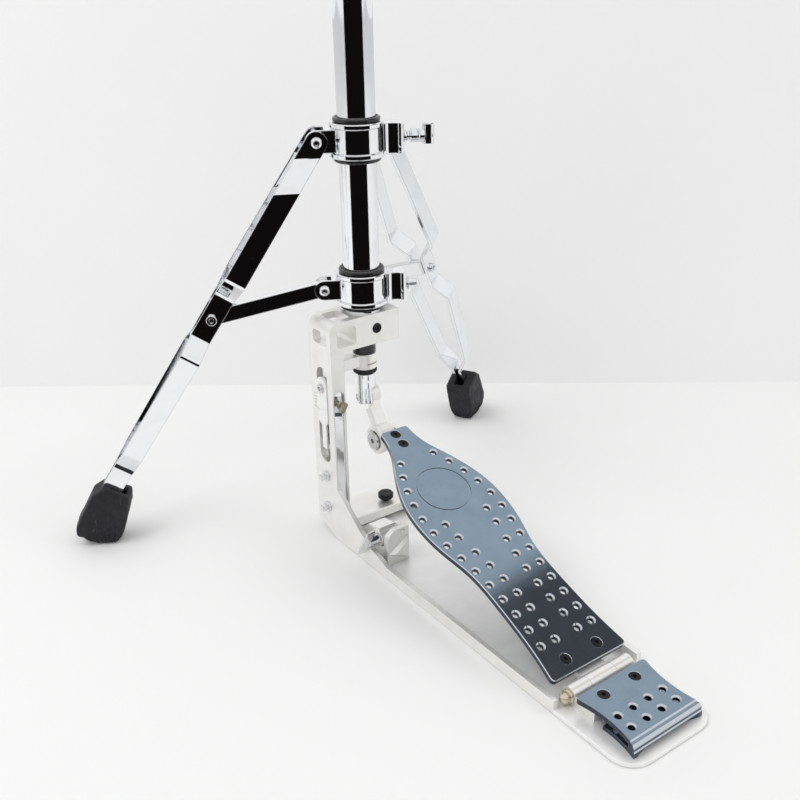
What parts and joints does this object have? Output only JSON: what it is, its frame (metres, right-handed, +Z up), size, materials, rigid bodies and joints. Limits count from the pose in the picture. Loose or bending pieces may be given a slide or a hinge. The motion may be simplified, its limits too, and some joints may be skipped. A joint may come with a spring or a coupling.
{
  "type": "hi-hat stand",
  "caption": "Folding hi-hat cymbal stand with a direct-drive pedal, splayed double-strap legs, a height-adjustable upper tube, cymbal seat, pull rod and clutch.",
  "frame": {"origin": "on the floor under the axis of the main tube, on the base plate's underside", "axes": "+Z up along the main tube, +X to the player's right, +Y away from the player, so the heel rest is at -Y"},
  "size_m": [0.494, 0.5242, 1],
  "materials": {
    "satin_aluminium": "satin machined",
    "anodised_aluminium": "blue-grey anodised",
    "chromed_steel": "polished chrome",
    "plain_steel": "brushed",
    "black_screws": "black oxide",
    "brass": "satin",
    "black_rubber": "moulded",
    "black_plastic": "moulded",
    "felt": "pressed felt"
  },
  "bodies": {
    "base": {"main_frame": "satin_aluminium", "right_rail": "satin_aluminium", "cross_bar": "satin_aluminium", "base_plate": "satin_aluminium", "base_screws": "black_screws", "heel_block": "satin_aluminium", "heel_plate": "anodised_aluminium", "hinge_axle": "brass", "guide_bush": "black_plastic", "tube_clamp_screw": "black_screws", "post_key_screws": "plain_steel", "spring_cover": "plain_steel", "return_spring": "plain_steel", "toe_clamp_base": "satin_aluminium", "base_tube": "chromed_steel", "height_clamp": "chromed_steel"},
    "pedal": {"footboard": "anodised_aluminium", "footboard_knuckle": "satin_aluminium", "footboard_screws": "black_screws", "toe_bracket": "satin_aluminium", "hub_axle": "plain_steel"},
    "link": {"drive_link": "satin_aluminium", "hub_bearings": "plain_steel"},
    "rod": {"coupling": "satin_aluminium", "link_pin": "plain_steel", "drive_rod": "plain_steel", "pull_rod": "chromed_steel", "carriage": "satin_aluminium", "rod_bumper": "black_rubber"},
    "clutch": {"clutch_body": "chromed_steel", "clutch_felts": "felt", "clutch_nuts": "chromed_steel"},
    "clutch_wing": {"clutch_wing_screw": "chromed_steel"},
    "upper_column": {"upper_tube": "chromed_steel", "seat_base": "chromed_steel"},
    "seat": {"seat_cup": "chromed_steel", "seat_felt": "felt"},
    "height_wing": {"height_wing_bolt": "chromed_steel"},
    "tension": {"tension_slider": "plain_steel", "tension_slider_screw": "plain_steel"},
    "tension_lock": {"tension_lock_screw": "brass"},
    "clamp_jaw": {"toe_clamp_rocker": "satin_aluminium"},
    "clamp_wing": {"toe_clamp_wing_screw": "chromed_steel"},
    "spur": {"spur_screw": "chromed_steel"},
    "brace_ring": {"lower_collar": "chromed_steel", "lower_collar_bushes": "black_plastic", "brace_pivot_pins": "chromed_steel"},
    "leg_ring": {"upper_collar": "chromed_steel", "upper_collar_bushes": "black_plastic", "leg_pivot_pins": "chromed_steel"},
    "left_leg": {"left_leg_straps": "chromed_steel", "left_leg_screws": "chromed_steel", "left_foot": "black_rubber"},
    "right_leg": {"right_leg_straps": "chromed_steel", "right_leg_screws": "chromed_steel", "right_foot": "black_rubber"},
    "left_brace": {"left_brace": "chromed_steel"},
    "right_brace": {"right_brace": "chromed_steel"},
    "leg_ring_key": {"upper_collar_key_screw": "chromed_steel"},
    "brace_ring_key": {"lower_collar_screw": "chromed_steel"}
  },
  "joints": [
    {"name": "pedal_hinge", "type": "hinge", "parent": "base", "child": "pedal", "pos_m": [0, -0.3045, 0.0093], "axis": [-1, 0, 0], "range_deg": [0, 8]},
    {"name": "link_hinge", "type": "hinge", "parent": "pedal", "child": "link", "pos_m": [0, -0.024, 0.0965], "axis": [1, 0, 0], "range_deg": [0, 22.4]},
    {"name": "rod_slide", "type": "slide", "parent": "base", "child": "rod", "axis": [0, 0, 1], "range_m": [-0.0351, 0], "stiffness_N_per_m": 700, "springref_m": 0.016, "deforming": ["return_spring"]},
    {"name": "clutch_slide", "type": "slide", "parent": "rod", "child": "clutch", "axis": [0, 0, 1], "range_m": [-0.008, 0.06]},
    {"name": "clutch_wing_turn", "type": "hinge", "parent": "clutch", "child": "clutch_wing", "pos_m": [0.0134, 0, 0.913], "axis": [1, 0, 0], "range_deg": [0, 300]},
    {"name": "height_slide", "type": "slide", "parent": "base", "child": "upper_column", "axis": [0, 0, 1], "range_m": [-0.09, 0.04]},
    {"name": "height_wing_turn", "type": "hinge", "parent": "base", "child": "height_wing", "pos_m": [0.0255, -0.0112, 0.588], "axis": [0, -1, 0], "range_deg": [0, 300]},
    {"name": "seat_tilt", "type": "hinge", "parent": "upper_column", "child": "seat", "pos_m": [0, 0, 0.753], "axis": [0, 1, 0], "range_deg": [-4, 4]},
    {"name": "tension_slide", "type": "slide", "parent": "base", "child": "tension", "axis": [0, 0, 1], "range_m": [-0.012, 0.003]},
    {"name": "tension_lock_turn", "type": "hinge", "parent": "base", "child": "tension_lock", "pos_m": [-0.0394, -0.0183, 0.1385], "axis": [0, -1, 0], "range_deg": [0, 300]},
    {"name": "clamp_jaw_rock", "type": "hinge", "parent": "base", "child": "clamp_jaw", "pos_m": [-0.0284, -0.07, 0.027], "axis": [1, 0, 0], "range_deg": [-15, 15]},
    {"name": "clamp_wing_turn", "type": "hinge", "parent": "base", "child": "clamp_wing", "pos_m": [-0.0386, -0.07, 0.027], "axis": [-1, 0, 0], "range_deg": [0, 300]},
    {"name": "spur_slide", "type": "slide", "parent": "base", "child": "spur", "axis": [0, 0, 1], "range_m": [-0.0028, 0.006]},
    {"name": "leg_swivel", "type": "hinge", "parent": "base", "child": "brace_ring", "pos_m": [0, 0, 0.2363], "axis": [0, 0, 1], "range_deg": [-15, 15]},
    {"name": "leg_fold", "type": "slide", "parent": "brace_ring", "child": "leg_ring", "axis": [0, 0, 1], "range_m": [0, 0.14]},
    {"name": "left_leg_hinge", "type": "hinge", "parent": "leg_ring", "child": "left_leg", "pos_m": [-0.02965, 0.01644, 0.3634], "axis": [0.4848, 0.8746, 0], "range_deg": [-21.61, 0]},
    {"name": "right_leg_hinge", "type": "hinge", "parent": "leg_ring", "child": "right_leg", "pos_m": [0.02965, 0.01644, 0.3634], "axis": [0.4848, -0.8746, 0], "range_deg": [-21.61, 0]},
    {"name": "left_brace_hinge", "type": "hinge", "parent": "brace_ring", "child": "left_brace", "pos_m": [-0.02904, 0.0161, 0.2363], "axis": [0.4848, 0.8746, 0], "range_deg": [0, 80.19]},
    {"name": "right_brace_hinge", "type": "hinge", "parent": "brace_ring", "child": "right_brace", "pos_m": [0.02904, 0.0161, 0.2363], "axis": [0.4848, -0.8746, 0], "range_deg": [0, 80.19]},
    {"name": "leg_ring_key_turn", "type": "hinge", "parent": "leg_ring", "child": "leg_ring_key", "pos_m": [0.03489, -0.01627, 0.3634], "axis": [0.9063, -0.4226, 0], "range_deg": [0, 300]},
    {"name": "brace_ring_key_turn", "type": "hinge", "parent": "brace_ring", "child": "brace_ring_key", "pos_m": [0.03489, -0.01627, 0.2363], "axis": [0.9063, -0.4226, 0], "range_deg": [0, 300]}
  ],
  "couplings": [
    {"joint": "link_hinge", "follows": "pedal_hinge", "ratio": 2.7906},
    {"joint": "rod_slide", "follows": "pedal_hinge", "m_per_rad": -0.25093},
    {"joint": "left_leg_hinge", "follows": "leg_fold", "rad_per_m": -2.6878},
    {"joint": "right_leg_hinge", "follows": "leg_fold", "rad_per_m": -2.6878},
    {"joint": "left_brace_hinge", "follows": "leg_fold", "rad_per_m": 9.9908},
    {"joint": "right_brace_hinge", "follows": "leg_fold", "rad_per_m": 9.9908}
  ]
}
